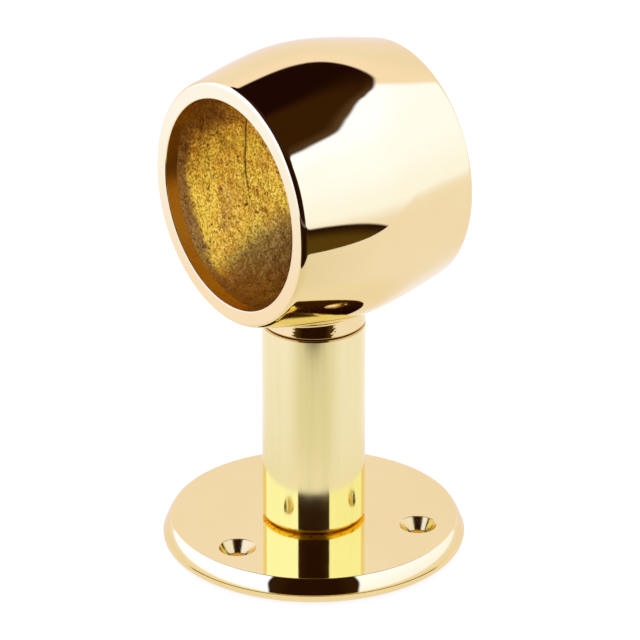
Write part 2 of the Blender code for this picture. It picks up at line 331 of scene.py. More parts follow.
def polished_brass():
    """Mirror brass: faint colour drift, buffing haze, and a slightly wavy cast skin that is rougher on the
    neck. The joint with the tube is stained."""
    material, n = new_material("polished_brass")
    place = n.add("TexCoord").outputs["Object"]
    height = n.dot(place, (0, 0, 1))
    drift = n.noise(place, 45.0, 3.0)
    colour = n.blend(n.span(drift, 0.3, 0.7, 0.0, 1.0), BRASS, BRASS_DULLER)
    haze = n.noise(place, 130.0, 4.0, 0.6)
    lines = n.noise(n.scaled(place, (1.0, 1.0, 0.05)), 2600.0, 2.0)
    roughness = n.math("ADD", n.span(haze, 0.35, 0.75, 0.018, 0.050), n.math("MULTIPLY", lines, 0.015))
    wave = n.bump(n.noise(place, 120.0, 1.0), 0.010 * MM)
    from_joint = [n.step(height, NECK_BOTTOM_Z + HEAD_STAIN_RISE[0], NECK_BOTTOM_Z + HEAD_STAIN_RISE[1]),
                  n.step(height, NECK_BOTTOM_Z - HEAD_STAIN_DROP[0], NECK_BOTTOM_Z - HEAD_STAIN_DROP[1])]
    in_joint = n.math("MULTIPLY", *from_joint)
    colour = n.blend(n.math("MULTIPLY", in_joint, 0.85), colour, JOINT_STAIN)
    on_neck = n.math("MULTIPLY", n.step(height, *NECK_ROUGH_BELOW), n.step(height, *NECK_ROUGH_ABOVE))
    ragged = n.noise(n.scaled(place, (1.0, 1.0, 1.3)), 300.0, 3.0, 0.55)
    normal = n.bump(n.math("MULTIPLY", ragged, on_neck), 0.060 * MM, normal=wave)
    finish_metal(n, {"Base Color": colour, "Roughness": roughness, "Normal": normal,
                     "Specular Tint": GRAZING_TINT})
    return material


def tube_brass():
    """Drawn brass tube: lengthwise ripples, and polishing marks round it that smear mirrored edges. The
    foot edge, which no polishing wheel reaches, is rougher and specked, under an orange band of painted
    reflection of the flange."""
    material, n = new_material("tube_brass")
    place = n.add("TexCoord").outputs["Object"]
    height = n.dot(place, (0, 0, 1))
    stretched = n.scaled(place, (1.0, 1.0, 0.03))
    streak = n.noise(stretched, 700.0, 3.0, 0.55)
    fine = n.noise(stretched, 2600.0, 2.0)
    colour = n.blend(n.span(streak, 0.3, 0.7, 0.0, 1.0), TUBE_BRASS, TUBE_BRASS_DULLER)
    # The foot's orange band is painted reflection of the flange; the specks and rougher finish are its own.
    wobble = n.math("MULTIPLY", n.noise(place, 300.0, 3.0), FOOT_BAND_WOBBLE)
    foot = n.step(n.math("ADD", height, wobble), *(tube_low.z + rise for rise in TUBE_FOOT_BAND_RISE))
    specks = n.step(n.noise(place, 900.0, 3.0, 0.7), 0.46, 0.34)
    foot_band_and_specks = n.blend(specks, FOOT_PAINTED_REFLECTION, FOOT_SPECK_DARK)
    colour = n.blend(foot, colour, foot_band_and_specks)
    rim = n.step(height, *(tube_high.z - drop for drop in TUBE_STAIN_DROP))
    colour = n.blend(n.math("MULTIPLY", rim, 0.85), colour, JOINT_STAIN)
    rings = n.noise(n.scaled(place, (0.05, 0.05, 1.0)), 5000.0, 2.0)
    roughness = n.math("ADD", n.span(streak, 0.3, 0.7, 0.075, 0.105), n.math("MULTIPLY", rings, 0.02))
    roughness = n.math("ADD", roughness, n.math("MULTIPLY", foot, 0.22))
    normal = n.bump(n.math("ADD", streak, n.math("MULTIPLY", fine, 0.25)), 0.0035 * MM)
    normal = n.bump(n.math("MULTIPLY", specks, foot), 0.02 * MM, normal=normal)
    tangent = n.add("Tangent", direction_type="RADIAL", axis="Z").outputs["Tangent"]
    finish_metal(n, {"Base Color": colour, "Roughness": roughness, "Normal": normal, "Anisotropic": 0.8,
                     "Anisotropic Rotation": 0.25, "Tangent": tangent, "Specular Tint": GRAZING_TINT})
    return material


def machined_brass(name, tones, smooth, rough):
    """Unpolished machined brass with fine tool marks, between two tones and two roughnesses."""
    material, n = new_material(name)
    place = n.add("TexCoord").outputs["Object"]
    marks = n.noise(n.scaled(place, (1.0, 0.03, 0.03)), 4200.0, 2.0, 0.6)
    colour = n.blend(n.noise(place, 180.0, 3.0), *tones)
    roughness = n.span(marks, 0.3, 0.7, smooth, rough)
    normal = n.bump(marks, 0.008 * MM)
    finish_metal(n, {"Base Color": colour, "Roughness": roughness, "Normal": normal,
                     "Specular Tint": GRAZING_TINT})
    return material


def cast_brass():
    """Sand-cast skin: gold patches, sandy grain with painted glints, dark pits, and a parting seam that fades
    out. Painted shade makes it browner near one lip, in an upper patch and along the bottom."""
    material, n = new_material("cast_brass")
    place = n.add("TexCoord").outputs["Object"]
    along = n.dot(place, (1, 0, 0))
    height = n.math("SUBTRACT", n.dot(place, (0, 0, 1)), RAIL_AXIS_Z)
    clouds = n.noise(place, 75.0, 4.0, 0.6, 0.4)
    coarse = n.noise(place, 420.0, 4.0, 0.65)
    grain = n.noise(place, 1550.0, 2.0, 0.6)
    pits = n.step(n.noise(place, 800.0, 2.0, 0.5), 0.36, 0.28)
    tone = n.ramp(clouds, CAST_TONES)
    tone = n.blend(n.math("MULTIPLY", n.step(grain, 0.49, 0.40), 0.50), tone, CAST_GRAIN_DARK)
    # Lighter grains get painted glints.
    tone = n.blend(n.math("MULTIPLY", n.step(grain, 0.55, 0.63), 0.40), tone, CAST_PAINTED_GLINT)
    tone = n.blend(n.math("MULTIPLY", pits, 0.75), tone, CAST_PIT)
    # Painted shade: darker brown by one lip, in an upper patch and along the bottom, with drifting edges.
    uneven = n.math("MULTIPLY", n.math("SUBTRACT", clouds, 0.5), CAST_PATCH_DRIFT)
    across = n.math("ADD", along, uneven)
    shade_by_lip = n.step(across, *CAST_SHADE_LIP_X)
    upper = n.math("MULTIPLY", n.step(across, *CAST_SHADE_UPPER_X), n.step(height, *CAST_SHADE_UPPER_HEIGHT))
    slanted = n.math("SUBTRACT", height, n.math("MULTIPLY", across, CAST_SHADE_LOWER_SLOPE))
    lower = n.step(slanted, *CAST_SHADE_LOWER_HEIGHT)
    painted_shade = n.math("MAXIMUM", shade_by_lip, n.math("MAXIMUM", upper, lower))
    tone = n.blend(n.math("MULTIPLY", painted_shade, 0.76), tone, CAST_PAINTED_SHADE)
    drift = n.math("MULTIPLY", n.math("MINIMUM", height, 0.0), SEAM_LEAN)
    wander = n.math("MULTIPLY", n.math("SUBTRACT", n.noise(place, 110.0, 3.0), 0.5), SEAM_WANDER)
    off_seam = n.math("SUBTRACT", along, n.math("ADD", n.math("ADD", drift, wander), SEAM_X))
    seam = n.step(n.math("ABSOLUTE", off_seam), *SEAM_HALF_WIDTH)
    seam = n.math("MULTIPLY", seam, n.step(height, *SEAM_FADE_HEIGHT))
    colour = n.blend(n.math("MULTIPLY", seam, 0.65), tone, CAST_SEAM)
    roughness = n.span(grain, 0.3, 0.7, 0.46, 0.26)
    skin = n.bump(coarse, 0.22 * MM)
    skin = n.bump(grain, 0.10 * MM, normal=skin)
    hollows = n.math("ADD", n.math("MULTIPLY", pits, 0.6), seam)
    normal = n.bump(n.math("MULTIPLY", hollows, -1.0), 0.12 * MM, normal=skin)
    finish_metal(n, {"Base Color": colour, "Roughness": roughness, "Normal": normal,
                     "Specular Tint": GRAZING_TINT})
    return material


def fastener_steel():
    """Plain stainless steel with a faint grain and a few duller patches."""
    material, n = new_material("fastener_steel")
    place = n.add("TexCoord").outputs["Object"]
    patches = n.noise(place, 260.0, 4.0, 0.6)
    grain = n.noise(n.scaled(place, (1.0, 1.0, 0.2)), 3200.0, 3.0, 0.6)
    colour = n.blend(patches, STEEL, STEEL_LIGHTER)
    roughness = n.math("ADD", n.span(patches, 0.3, 0.7, 0.22, 0.38), n.math("MULTIPLY", grain, 0.06))
    normal = n.bump(grain, 0.006 * MM)
    finish_metal(n, {"Base Color": colour, "Roughness": roughness, "Normal": normal})
    return material


def oval(centre_r, centre_z, reach, rise, start, end, steps=ARC_STEPS):
    """Outline points (radius, height) round an ellipse, from one angle to another in degrees."""
    angles = [math.radians(start + (end - start) * i / steps) for i in range(steps + 1)]
    return [(centre_r + reach * math.cos(a), centre_z + rise * math.sin(a)) for a in angles]


def arc(centre_r, centre_z, radius, start, end, steps=ARC_STEPS):
    """Outline points (radius, height) round a circle, from one angle to another in degrees."""
    return oval(centre_r, centre_z, radius, radius, start, end, steps)


def turned(outline, segments):
    """A solid turned about Z. The outline is a list of (radius, height), or a function that gives it
    for an angle. An outline that starts on the axis ends on it; any other is a closed loop."""
    angles = [2 * math.pi * i / segments for i in range(segments)]
    columns = [outline(a) if callable(outline) else outline for a in angles]
    places, faces, rings = [], [], []
    for row, (first_r, _) in enumerate(columns[0]):
        start = len(places)
        if first_r == 0.0:
            places.append((0.0, 0.0, columns[0][row][1]))
            rings.append([start] * segments)
        else:
            for angle, column in zip(angles, columns):
                r, z = column[row]
                places.append((r * math.cos(angle), r * math.sin(angle), z))
            rings.append(list(range(start, start + segments)))
    pairs = list(zip(rings, rings[1:]))
    if columns[0][0][0] > 0.0:
        pairs.append((rings[-1], rings[0]))
    for low, high in pairs:
        for i in range(segments):
            j = (i + 1) % segments
            corners = (low[i], low[j], high[j], high[i])
            faces.append(tuple(dict.fromkeys(corners)))
    mesh = bpy.data.meshes.new("turned")
    mesh.from_pydata(places, [], faces)
    shape = bmesh.new()
    shape.from_mesh(mesh)
    bpy.data.meshes.remove(mesh)
    bmesh.ops.recalc_face_normals(shape, faces=shape.faces)
    return shape


def prism(across_flats, bottom, top, sides=6):
    """An upright prism with regular sides, measured across its flats."""
    shape = bmesh.new()
    corner_r = across_flats / 2 / math.cos(math.pi / sides)
    bmesh.ops.create_cone(
        shape, cap_ends=True, segments=sides, radius1=corner_r, radius2=corner_r, depth=top - bottom,
        matrix=Matrix.Translation((0, 0, (top + bottom) / 2)),
    )
    return shape


def new_object(name, shape, location=(0, 0, 0)):
    mesh = bpy.data.meshes.new(name)
    shape.to_mesh(mesh)
    shape.free()
    item = bpy.data.objects.new(name, mesh)
    item.location = location
    bpy.context.scene.collection.objects.link(item)
    return item


def combine(target, tool, operation):
    """Joins, cuts or trims target with tool at once, and removes the tool."""
    modifier = target.modifiers.new("combine", "BOOLEAN")
    modifier.operation = operation
    modifier.solver = "EXACT"
    modifier.object = tool
    bpy.context.view_layer.update()
    result = target.evaluated_get(bpy.context.evaluated_depsgraph_get())
    mesh = bpy.data.meshes.new_from_object(result)
    target.modifiers.remove(modifier)
    old = target.data
    target.data = mesh
    bpy.data.meshes.remove(old)
    bpy.data.objects.remove(tool, do_unlink=True)


def dress(piece, materials, body, nodes):
    """Shading, finish and place in the frame: the piece rides on a body and stands for CAD nodes."""
    mesh = piece.data
    mesh.materials.clear()
    for material in materials:
        mesh.materials.append(material)
    mesh.shade_smooth()
    mesh.set_sharp_from_angle(angle=SMOOTH_ANGLE)
    normals = piece.modifiers.new("even_normals", "WEIGHTED_NORMAL")
    normals.mode = "FACE_AREA"
    normals.keep_sharp = True
    normals.weight = 100
    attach(piece, body)
    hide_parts(*nodes)
    return piece


def rim_outline():
    """The flange's rim from its underside up: tucked-in bead, fine groove, swept face and crisp edge."""
    top_tilt = math.radians(RIM_TOP_TILT)
    edge_z = FLANGE_T - CRISP_EDGE
    sweep_r = FLANGE_TOP_R - RIM_CURVE_R * math.cos(top_tilt)
    sweep_z = edge_z + (CRISP_EDGE - RIM_CURVE_R) * math.sin(top_tilt)
    sweep = arc(sweep_r, sweep_z, RIM_CURVE_R, RIM_LOW_TILT, RIM_TOP_TILT, 2 * ARC_STEPS)
    low_r, low_z = sweep[0]
    edge = arc(FLANGE_TOP_R - CRISP_EDGE * math.cos(top_tilt), edge_z, CRISP_EDGE, RIM_TOP_TILT, 90, 5)
    return [
        (FOOT_FACE_R, 0.0),
        *arc(FLANGE_R - BEAD_R, BEAD_MID_Z, BEAD_R, *BEAD_ANGLES, 2 * ARC_STEPS),
        (low_r - RIM_GROOVE, low_z - RIM_GROOVE),
        *sweep,
        *edge[1:],
    ]


def screw_drill():
    """Screw hole with its countersink and a slightly rounded mouth."""
    above = FLANGE_T + DRILL_OVERRUN
    return [
        (0.0, -DRILL_OVERRUN),
        (SCREW_HOLE_R, -DRILL_OVERRUN),
        (SCREW_HOLE_R, FLANGE_T - SCREW_SINK_DEPTH - SINK_EDGE_R),
        (SCREW_HOLE_R + SINK_EDGE_R, FLANGE_T - SCREW_SINK_DEPTH + SINK_EDGE_R),
        (SCREW_SINK_R - SINK_EDGE_R, FLANGE_T - SINK_EDGE_R),
        (SCREW_SINK_R, FLANGE_T - SINK_EDGE_R * 0.4),
        (SCREW_SINK_R + SINK_EDGE_R * 1.4, FLANGE_T + SINK_EDGE_R * 0.1),
        (SCREW_SINK_R + SINK_EDGE_R * 1.4, above),
        (0.0, above),
    ]


def sort_flange_finishes(mesh):
    """Gives the screw holes and their countersinks the machined finish, and the rest the polished one."""
    turn = 2 * math.pi / SCREW_COUNT
    for face in mesh.polygons:
        centre = face.center
        angle = math.atan2(centre.y, centre.x) - SCREW_FIRST_ANGLE
        from_hole = (angle + turn / 2) % turn - turn / 2
        r = math.hypot(centre.x, centre.y)
        off = math.hypot(r * math.cos(from_hole) - SCREW_CIRCLE_R, r * math.sin(from_hole))
        in_hole = off < SCREW_SINK_R - SINK_EDGE_R / 2 and abs(face.normal.z) < 0.95
        face.material_index = 1 if in_hole else 0


def make_flange(materials):
    outline = [(POCKET_R + CRISP_EDGE, 0.0)]
    outline += rim_outline()
    outline += [
        (SPIGOT_R, FLANGE_T),
        (SPIGOT_R, BOSS_TOP_Z - 2 * GAP),
        (SPIGOT_R - 2 * GAP, BOSS_TOP_Z),
        (ROD_HOLE_R, BOSS_TOP_Z),
        (ROD_HOLE_R, WEB_BOTTOM_Z),
        (POCKET_R, WEB_BOTTOM_Z),
        (POCKET_R, CRISP_EDGE),
    ]
    flange = new_object("base_flange_polished", turned(outline, BIG_SEGMENTS))
    for i in range(SCREW_COUNT):
        angle = SCREW_FIRST_ANGLE + 2 * math.pi * i / SCREW_COUNT
        place = (SCREW_CIRCLE_R * math.cos(angle), SCREW_CIRCLE_R * math.sin(angle), 0)
        combine(flange, new_object("drill", turned(screw_drill(), SMALL_SEGMENTS), place), "DIFFERENCE")
    flange = dress(flange, materials, "base", ["base_flange"])
    sort_flange_finishes(flange.data)
    return flange


def make_tube(material):
    inner_r = TUBE_R - TUBE_WALL
    outline = [(inner_r, tube_high.z), (inner_r, tube_low.z)]
    outline += arc(TUBE_R - TUBE_FOOT_ROUND, tube_low.z + TUBE_FOOT_ROUND, TUBE_FOOT_ROUND, -90, 0)
    outline += arc(TUBE_R - TUBE_TOP_BREAK, tube_high.z - TUBE_TOP_BREAK, TUBE_TOP_BREAK, 0, 90, 6)
    tube = new_object("post_tube_drawn", turned(outline, TUBE_SEGMENTS))
    return dress(tube, [material], "base", ["post_tube"])


def ring_outer_r(x):
    """Outer radius of the ring at distance x from its middle: a rounded crown between two tapers."""
    share = x / RING_HALF
    full = math.hypot(1.0, RING_CROWN) - RING_CROWN
    return RING_MID_R - (RING_MID_R - RING_END_R) * (math.hypot(share, RING_CROWN) - RING_CROWN) / full


def core_r(x):
    """Radius of the cored hollow between the two lips, widest at the middle."""
    share = abs(x) / (RING_HALF - LIP_BORE_LENGTH)
    return CORE_MID_R - (CORE_MID_R - CORE_END_R) * share**2


def ring_outline():
    """The ring's section as (radius, distance along the rail), once round."""
    lip_start = RING_HALF - LIP_BORE_LENGTH
    centre_x = RING_HALF - RING_LIP_LENGTH
    start = math.atan(math.tan(math.radians(LIP_TANGENT)) * RING_LIP_LENGTH / RING_LIP_ROUND)
    shoulder = centre_x + RING_LIP_LENGTH * math.sin(start)
    places = [shoulder * (2 * i / RING_STATIONS - 1) for i in range(RING_STATIONS + 1)]
    outer = [(ring_outer_r(x), x) for x in places]
    edge_r = ring_outer_r(shoulder) - RING_LIP_ROUND * math.cos(start)
    lip = oval(edge_r, centre_x, RING_LIP_ROUND, RING_LIP_LENGTH, math.degrees(start), 90, 2 * ARC_STEPS)[1:]
    outer += lip
    outer += arc(LIP_BORE_R + LIP_BREAK, RING_HALF - LIP_BREAK, LIP_BREAK, 90, 180, 6)
    outer += [(LIP_BORE_R, lip_start)]
    inner = [(core_r(lip_start * (1 - 2 * i / CORE_STATIONS)), lip_start * (1 - 2 * i / CORE_STATIONS))
             for i in range(CORE_STATIONS + 1)]
    inner += [(LIP_BORE_R, -lip_start)]
    inner += arc(LIP_BORE_R + LIP_BREAK, LIP_BREAK - RING_HALF, LIP_BREAK, 180, 270, 6)
    inner += [(r, -x) for r, x in reversed(lip)]
    return outer + inner


def neck_outline(angle):
    """The neck's section at an angle round the post: spigot, wall, and a fillet up into the ring."""
    across, along = math.sin(angle), math.cos(angle)

    def under_ring(r):
        outer = ring_outer_r(r * along)
        return RAIL_AXIS_Z - math.sqrt(outer**2 - (r * across)**2)

    step = 0.05 * MM
    rise = NECK_TOP_Z - NECK_BOTTOM_Z
    wall_r = TUBE_R
    for _ in range(8):
        touch_r = wall_r + NECK_FILLET_R
        slope = math.atan((under_ring(touch_r + step) - under_ring(touch_r - step)) / (2 * step))
        touch_r = wall_r + NECK_FILLET_R * (1 - math.sin(slope))
        slope = math.atan((under_ring(touch_r + step) - under_ring(touch_r - step)) / (2 * step))
        centre_z = under_ring(touch_r) - NECK_FILLET_R * math.cos(slope) + 0.02 * MM
        wall_r = TUBE_R - NECK_WAIST * (centre_z - NECK_BOTTOM_Z) / rise
    end = 90 + math.degrees(slope) - NECK_FILLET_OVERRUN
    fillet = arc(wall_r + NECK_FILLET_R, centre_z, NECK_FILLET_R, 178, end, 10)
    return [
        (0.0, SPIGOT_BOTTOM_Z),
        (SPIGOT_R - 2 * GAP, SPIGOT_BOTTOM_Z),
        (SPIGOT_R, SPIGOT_BOTTOM_Z + 2 * GAP),
        (SPIGOT_R, NECK_BOTTOM_Z),
        *arc(TUBE_R - NECK_EDGE, NECK_BOTTOM_Z + NECK_EDGE, NECK_EDGE, -90, 0, 6),
        *fillet,
        (TUBE_R - 1.0 * MM, NECK_TOP_Z),
        (0.0, NECK_TOP_Z),
    ]


def cast_skin(point):
    """How far the cast hollow's wall stands in from its nominal radius, in metres."""
    place = point / MM
    swell = noise.noise(place / 9.0) * 0.16
    lumps = noise.noise(place / 2.3 + Vector((40, 0, 0))) * 0.11
    grain = noise.noise(place / 0.95 + Vector((0, 40, 0))) * 0.06
    return (swell + lumps + grain) * MM


def roughen_core(mesh):
    """Splits the hollow's faces finely and moves them by the cast skin, fading out at the lips."""
    lip_start = RING_HALF - LIP_BORE_LENGTH
    shape = bmesh.new()
    shape.from_mesh(mesh)
    axis = Vector((0, 0, RAIL_AXIS_Z))

    def rail_r(point):
        return math.hypot(point.y, point.z - RAIL_AXIS_Z)

    def in_core(point):
        return abs(point.x) <= lip_start + 1e-6 and abs(rail_r(point) - core_r(point.x)) < 0.05 * MM

    faces = [f for f in shape.faces if all(in_core(v.co) for v in f.verts) and len(f.verts) == 4]
    edges = {e for f in faces for e in f.edges
             if abs(e.verts[0].co.x - e.verts[1].co.x) > 1.0 * MM}
    bmesh.ops.subdivide_edges(shape, edges=list(edges), cuts=CORE_CUTS, use_grid_fill=True)
    for vert in shape.verts:
        x = vert.co.x
        r = rail_r(vert.co)
        chord = CORE_MID_R - CORE_END_R
        if abs(x) < lip_start - 0.1 * MM and abs(r - core_r(x)) < 0.06 * chord:
            fade = min(1.0, (lip_start - abs(x)) / (0.8 * MM))
            outward = (vert.co - axis - Vector((x, 0, 0))) / r
            vert.co += outward * (core_r(x) - r - cast_skin(vert.co) * fade)
    shape.to_mesh(mesh)
    shape.free()


def sort_ring_finishes(mesh):
    """Gives each face its finish: 0 polished outside, 1 bored lip, 2 cast hollow."""
    lip_start = RING_HALF - LIP_BORE_LENGTH
    for face in mesh.polygons:
        x = abs(face.center.x)
        r = math.hypot(face.center.y, face.center.z - RAIL_AXIS_Z)
        facing_in = face.normal.y * face.center.y + face.normal.z * (face.center.z - RAIL_AXIS_Z) < 0
        if x < lip_start and r < CORE_MID_R + 0.6 * MM and face.center.z > NECK_TOP_Z:
            face.material_index = 2
        elif x < RING_HALF - LIP_BREAK and facing_in and r < LIP_BORE_R + 0.02 * MM:
            face.material_index = 1
        else:
            face.material_index = 0


def make_head(materials):
    ring = turned(ring_outline(), BIG_SEGMENTS)
    turn = Matrix.Translation((0, 0, RAIL_AXIS_Z)) @ Matrix.Rotation(math.pi / 2, 4, "Y")
    bmesh.ops.transform(ring, matrix=turn, verts=ring.verts)
    head = new_object("rail_head_polished", ring)
    combine(head, new_object("neck", turned(neck_outline, TUBE_SEGMENTS)), "UNION")
    rod_drill = [
        (0.0, SPIGOT_BOTTOM_Z - 1.0 * MM),
        (ROD_HOLE_R + 1.5 * MM, SPIGOT_BOTTOM_Z - 1.0 * MM),
        (ROD_HOLE_R, SPIGOT_BOTTOM_Z + 0.5 * MM),
        (ROD_HOLE_R, ROD_HOLE_TOP_Z),
        (0.0, ROD_HOLE_TOP_Z + ROD_HOLE_R / 3),
    ]
    combine(head, new_object("drill", turned(rod_drill, SMALL_SEGMENTS)), "DIFFERENCE")
    grub_hole_r = GRUB_R + GAP
    mouth_z = grub_low.z
    grub_drill = [
        (0.0, mouth_z - 3.0 * MM),
        (grub_hole_r + 2.6 * MM, mouth_z - 3.0 * MM),
        (grub_hole_r, mouth_z - 0.1 * MM),
        (grub_hole_r, mouth_z + 2 * GRUB_LENGTH),
        (0.0, mouth_z + 2 * GRUB_LENGTH),
    ]
    cutter = new_object("drill", turned(grub_drill, SMALL_SEGMENTS), (GRUB_X, 0, 0))
    combine(head, cutter, "DIFFERENCE")
    roughen_core(head.data)
    head = dress(head, materials, "head", ["rail_head"])
    sort_ring_finishes(head.data)
    return head


def thread(major_r, pitch, bottom, top, inward=True):
    """Outline for each angle of a screw thread: a helix of vees between two heights, run out at the ends."""
    depth = THREAD_SHARE * pitch
    rows = max(4, round((top - bottom) / pitch * 8))

    def side(angle):
        points = []
        for i in range(rows + 1):
            z = bottom + (top - bottom) * i / rows
            phase = (z / pitch - angle / (2 * math.pi)) % 1.0
            vee = min(1.0, 1.25 * abs(2 * phase - 1))
            ends = min(1.0, (z - bottom) / depth + 0.15, (top - z) / depth + 0.15)
            cut = depth * (1 - vee) if inward else -depth * (1 - vee)
            ending = depth * (1 - ends) if inward else -depth * (1 - ends)
            r = min(major_r - cut, major_r - ending) if inward else max(major_r - cut, major_r - ending)
            points.append((r, z))
        return points

    return side


def make_tie_rod(material):
    side = thread(ROD_R, ROD_PITCH, rod_low.z, rod_high.z)

    def outline(angle):
        return [(0.0, rod_low.z), *side(angle), (0.0, rod_high.z)]

    rod = new_object("tie_rod_threaded", turned(outline, SMALL_SEGMENTS // 2))
    return dress(rod, [material], "head", ["tie_rod"])


def make_washers(material):
    """Plain washer with stamped, rounded edges, and the split spring washer with sheared ends."""
    soft = WASHER_EDGE
    for name, low, high, split in (("plain_washer", plain_low, plain_high, False),
                                   ("spring_washer", spring_low, spring_high, True)):
        outer_r = high.x if not split else high.y
        outline = [(ROD_HOLE_R, low.z), *arc(outer_r - soft, low.z + soft, soft, -90, 0, 5)]
        outline += [*arc(outer_r - soft, high.z - soft, soft, 0, 90, 5), (ROD_HOLE_R + soft / 2, high.z)]
        outline += [(ROD_HOLE_R, high.z - soft / 2)]
        washer = new_object(name + "_stamped", turned(outline, SMALL_SEGMENTS))
        if split:
            slot = bmesh.new()
            size = Matrix.Diagonal((outer_r, SPRING_WASHER_SLOT, 3 * (high.z - low.z), 1))
            place = Matrix.Translation((outer_r, 0, (high.z + low.z) / 2))
            lean = Matrix.Rotation(math.radians(25), 4, "X")
            bmesh.ops.create_cube(slot, size=1.0, matrix=place @ lean @ size)
            combine(washer, new_object("slot", slot), "DIFFERENCE")
        dress(washer, [material], "base", [name])


def make_nut(material):
    """Hexagon nut with chamfered corners and a threaded hole."""
    bottom, top = nut_low.z, nut_high.z
    nut = new_object("tie_nut_hexagon", prism(NUT_ACROSS_FLATS, bottom, top))
    face_r = NUT_ACROSS_FLATS / 2 * 0.97
    corner_r = NUT_ACROSS_FLATS / 2 / math.cos(math.pi / 6)
    drop = (corner_r - face_r) * math.tan(NUT_CHAMFER_ANGLE)
    side = thread(ROD_R + NUT_THREAD_PLAY, ROD_PITCH, bottom - GAP, top + GAP, inward=False)

    def blank(angle):
        return [
            *reversed(side(angle)),
            (face_r, bottom - GAP),
            (face_r, bottom),
            (corner_r + GAP, bottom + drop),
            (corner_r + GAP, top - drop),
            (face_r, top),
            (face_r, top + GAP),
        ]

    combine(nut, new_object("blank", turned(blank, SMALL_SEGMENTS // 2)), "INTERSECT")
    return dress(nut, [material], "nut", ["tie_nut"])


def make_grub_screw(material):
    """Socket set screw: threaded body, hexagon socket below and a cup point above."""
    side = thread(GRUB_R, GRUB_PITCH, -GRUB_LENGTH, 0.0)
    cup_r = GRUB_R / 2

    def outline(angle):
        return [(0.0, -GRUB_LENGTH), *side(angle), (cup_r, 0.0), (0.0, -cup_r / 2)]

    place = (GRUB_X, 0, grub_high.z)
    screw = new_object("rail_set_screw_socket", turned(outline, SMALL_SEGMENTS // 2), place)
    socket = prism(GRUB_SOCKET_FLATS, -GRUB_LENGTH - GAP, GRUB_SOCKET_DEPTH - GRUB_LENGTH)
    combine(screw, new_object("socket", socket, place), "DIFFERENCE")
    return dress(screw, [material], "set_screw", ["rail_set_screw"])


def studio_world():
    """A soft studio by direction: two tall softboxes beside a dark camera side, pale wall, dark ceiling.
    Only reflections show it. The camera and matt surfaces get plain white."""
    world = bpy.data.worlds.new("studio")
    bpy.context.scene.world = world
    world.use_nodes = True
    n = Nodes(world.node_tree)
    direction = n.add("TexCoord").outputs["Generated"]
    side = n.dot(direction, CAMERA_RIGHT)
    front = n.dot(direction, TOWARD_CAMERA)
    azimuth = n.math("ABSOLUTE", n.math("DEGREES", n.math("ARCTAN2", side, front)))
    elevation = n.math("DEGREES", n.math("ARCSINE", n.dot(direction, (0, 0, 1))))
    box_tone = n.blend(n.step(side, -0.15, 0.15), SOFTBOX_LEFT, SOFTBOX_RIGHT)
    lower = n.blend(n.step(elevation, 30.0, -5.0), (1.0, 1.0, 1.0), SOFTBOX_LOW_TINT)
    upper = n.blend(n.step(elevation, 32.0, 50.0), (1.0, 1.0, 1.0), SOFTBOX_HIGH_TINT)
    box_tone = n.scaled(n.scaled(box_tone, lower), upper)
    wall = n.blend(n.step(elevation, 26.0, 38.0), BACK_WALL, BACK_WALL_HIGH)
    colour = n.blend(n.step(azimuth, SOFTBOX_END[1], SOFTBOX_END[0]), wall, box_tone)
    shadow_side = n.blend(n.step(azimuth, 16.0, 31.0), FRONT_DARK, FRONT_BROWN)
    slot = n.math("SUBTRACT", azimuth, n.math("MULTIPLY", n.step(elevation, 0.0, 30.0), 3.0))
    colour = n.blend(n.step(slot, DARK_SIDE_END[1], DARK_SIDE_END[0]), colour, shadow_side)
    far_table = n.blend(n.step(azimuth, 90.0, 150.0), TABLE, TABLE_BACK)
    colour = n.blend(n.step(elevation, -3.0, -18.0), colour, far_table)
    below_box = n.math("MULTIPLY", n.math("MAXIMUM", 0.0, n.math("SUBTRACT", azimuth, 40.0)), 0.5)
    dark_top = n.math("SUBTRACT", -8.0, below_box)
    under = n.step(n.math("SUBTRACT", elevation, dark_top), 1.0, -1.0)
    depth = n.step(n.math("SUBTRACT", elevation, dark_top), -1.0, -11.0)
    under_tone = n.blend(n.math("MULTIPLY", depth, n.step(azimuth, 24.0, 46.0)), FRONT_DARK, UNDER_TABLE)
    colour = n.blend(n.math("MULTIPLY", under, n.step(azimuth, 80.0, 70.0)), colour, under_tone)
    line = n.ramp(n.math("DIVIDE", azimuth, 180.0),
                  [(angle / 180, height / 90) for angle, height in CEILING_LINE], "CARDINAL")
    above = n.math("SUBTRACT", elevation, n.math("MULTIPLY", line, 90.0))
    beside_box = n.math("MULTIPLY", n.step(azimuth, 35.0, 60.0), n.step(azimuth, 150.0, 120.0))
    ceiling = n.blend(n.math("MULTIPLY", n.step(above, 7.0, 1.0), beside_box), CEILING, CEILING_EDGE)
    ceiling = n.blend(n.step(azimuth, 120.0, 160.0), ceiling, CEILING_BACK)
    colour = n.blend(n.step(above, -1.2, 1.2), colour, ceiling)
    mirrored = n.add("Background", {"Color": colour, "Strength": 1.0}).outputs[0]
    plain = n.add("Background", {"Color": (1.0, 1.0, 1.0), "Strength": 1.0}).outputs[0]
    ray = n.add("LightPath")
    plain_share = n.math("MAXIMUM", ray.outputs["Is Camera Ray"], ray.outputs["Is Diffuse Ray"])
    mix = n.add("MixShader", {"Fac": plain_share})
    n.tree.links.new(mirrored, mix.inputs[1])
    n.tree.links.new(plain, mix.inputs[2])
    output = n.add("OutputWorld")
    n.tree.links.new(mix.outputs[0], output.inputs["Surface"])


def flat_sheet(name, width, depth, centre):
    """A flat rectangle squared to the camera, at a height just under the flange."""
    shape = bmesh.new()
    bmesh.ops.create_grid(shape, x_segments=1, y_segments=1, size=0.5)
    turn = Matrix((CAMERA_RIGHT, -TOWARD_CAMERA, Vector((0, 0, 1)))).transposed().to_4x4()
    size = Matrix.Diagonal((width, depth, 1.0, 1.0))
    bmesh.ops.transform(shape, matrix=Matrix.Translation(centre) @ turn @ size, verts=shape.verts)
    return new_object(name, shape)


